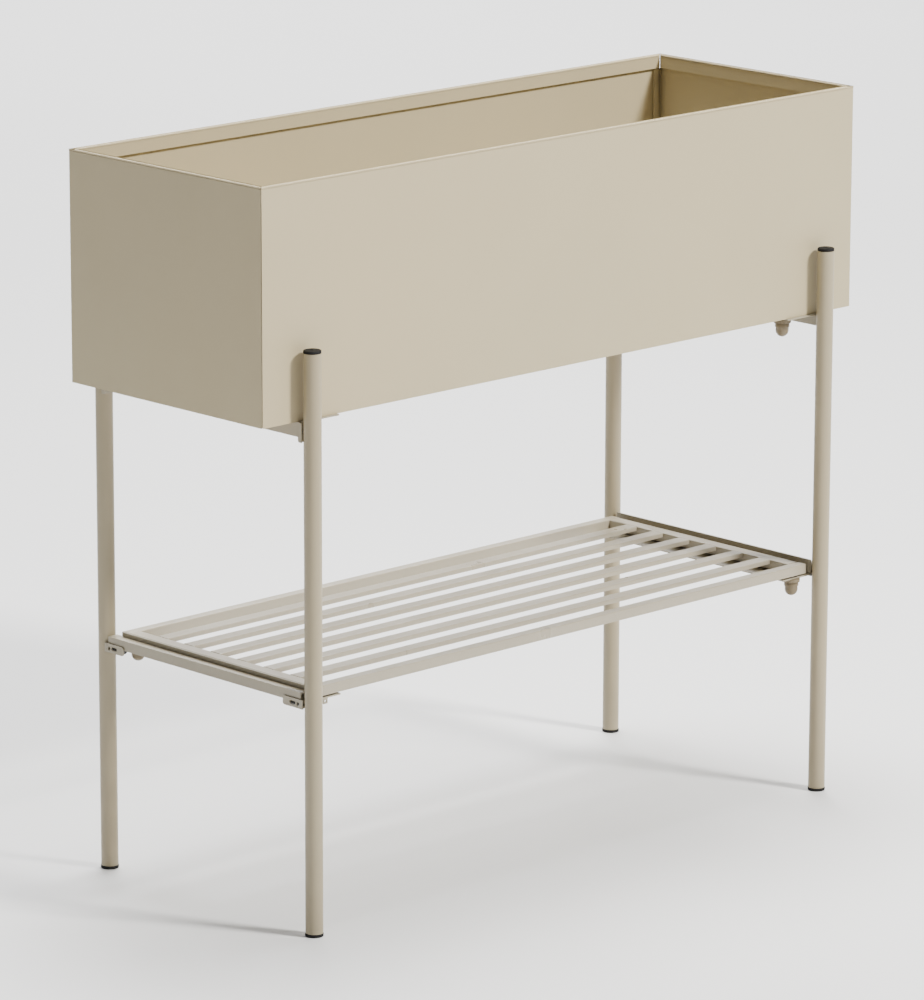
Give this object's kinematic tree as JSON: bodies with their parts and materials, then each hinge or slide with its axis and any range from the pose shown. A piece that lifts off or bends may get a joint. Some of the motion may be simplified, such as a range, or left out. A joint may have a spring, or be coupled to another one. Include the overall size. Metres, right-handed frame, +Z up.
{
  "type": "raised planter",
  "caption": "Long raised planter box on a bolted tube stand, with an open slatted shelf below for pots and tools.",
  "frame": {"origin": "on the ground under the middle of the planter, level with the undersides of the feet", "axes": "+Z up, +X along the long side of the box, +Y from the front to the back"},
  "size_m": [0.89, 0.3508, 0.805],
  "materials": {
    "box_steel": "fine matte beige powder coat",
    "frame_steel": "satin beige powder coat",
    "shelf_steel": "satin beige powder coat",
    "black_plastic": "matte moulded",
    "nut_plastic": "satin moulded",
    "black_steel": "black oxide",
    "zinc_steel": "zinc plated"
  },
  "bodies": {
    "root": {"wall_front": "box_steel", "wall_back": "box_steel", "wall_left": "box_steel", "wall_right": "box_steel", "floor_tray": "box_steel", "leg_front_left": "frame_steel", "leg_plug_front_left": "black_plastic", "foot_cap_front_left": "black_plastic", "upper_bracket_front_left": "frame_steel", "lower_bracket_front_left": "frame_steel", "upper_screw_front_left": "zinc_steel", "lower_screw_front_left": "black_steel", "leg_front_right": "frame_steel", "leg_plug_front_right": "black_plastic", "foot_cap_front_right": "black_plastic", "upper_bracket_front_right": "frame_steel", "lower_bracket_front_right": "frame_steel", "upper_screw_front_right": "zinc_steel", "lower_screw_front_right": "black_steel", "leg_back_left": "frame_steel", "leg_plug_back_left": "black_plastic", "foot_cap_back_left": "black_plastic", "upper_bracket_back_left": "frame_steel", "lower_bracket_back_left": "frame_steel", "upper_screw_back_left": "zinc_steel", "lower_screw_back_left": "black_steel", "leg_back_right": "frame_steel", "leg_plug_back_right": "black_plastic", "foot_cap_back_right": "black_plastic", "upper_bracket_back_right": "frame_steel", "lower_bracket_back_right": "frame_steel", "upper_screw_back_right": "zinc_steel", "lower_screw_back_right": "black_steel", "upper_crossbar_right": "frame_steel", "lower_crossbar_right": "frame_steel", "shelf_seat_right": "frame_steel", "upper_nut_right": "nut_plastic", "lower_nut_right": "nut_plastic", "upper_bolt_right": "zinc_steel", "lower_bolt_right": "zinc_steel", "upper_crossbar_left": "frame_steel", "lower_crossbar_left": "frame_steel", "shelf_seat_left": "frame_steel", "upper_nut_left": "nut_plastic", "lower_nut_left": "nut_plastic", "upper_bolt_left": "zinc_steel", "lower_bolt_left": "zinc_steel", "shelf_rail_front": "shelf_steel", "shelf_rail_back": "shelf_steel", "shelf_rail_right": "shelf_steel", "shelf_rail_left": "shelf_steel", "shelf_slat_1": "shelf_steel", "shelf_slat_2": "shelf_steel", "shelf_slat_3": "shelf_steel", "shelf_slat_4": "shelf_steel", "shelf_slat_5": "shelf_steel", "shelf_slat_6": "shelf_steel"}
  },
  "joints": []
}
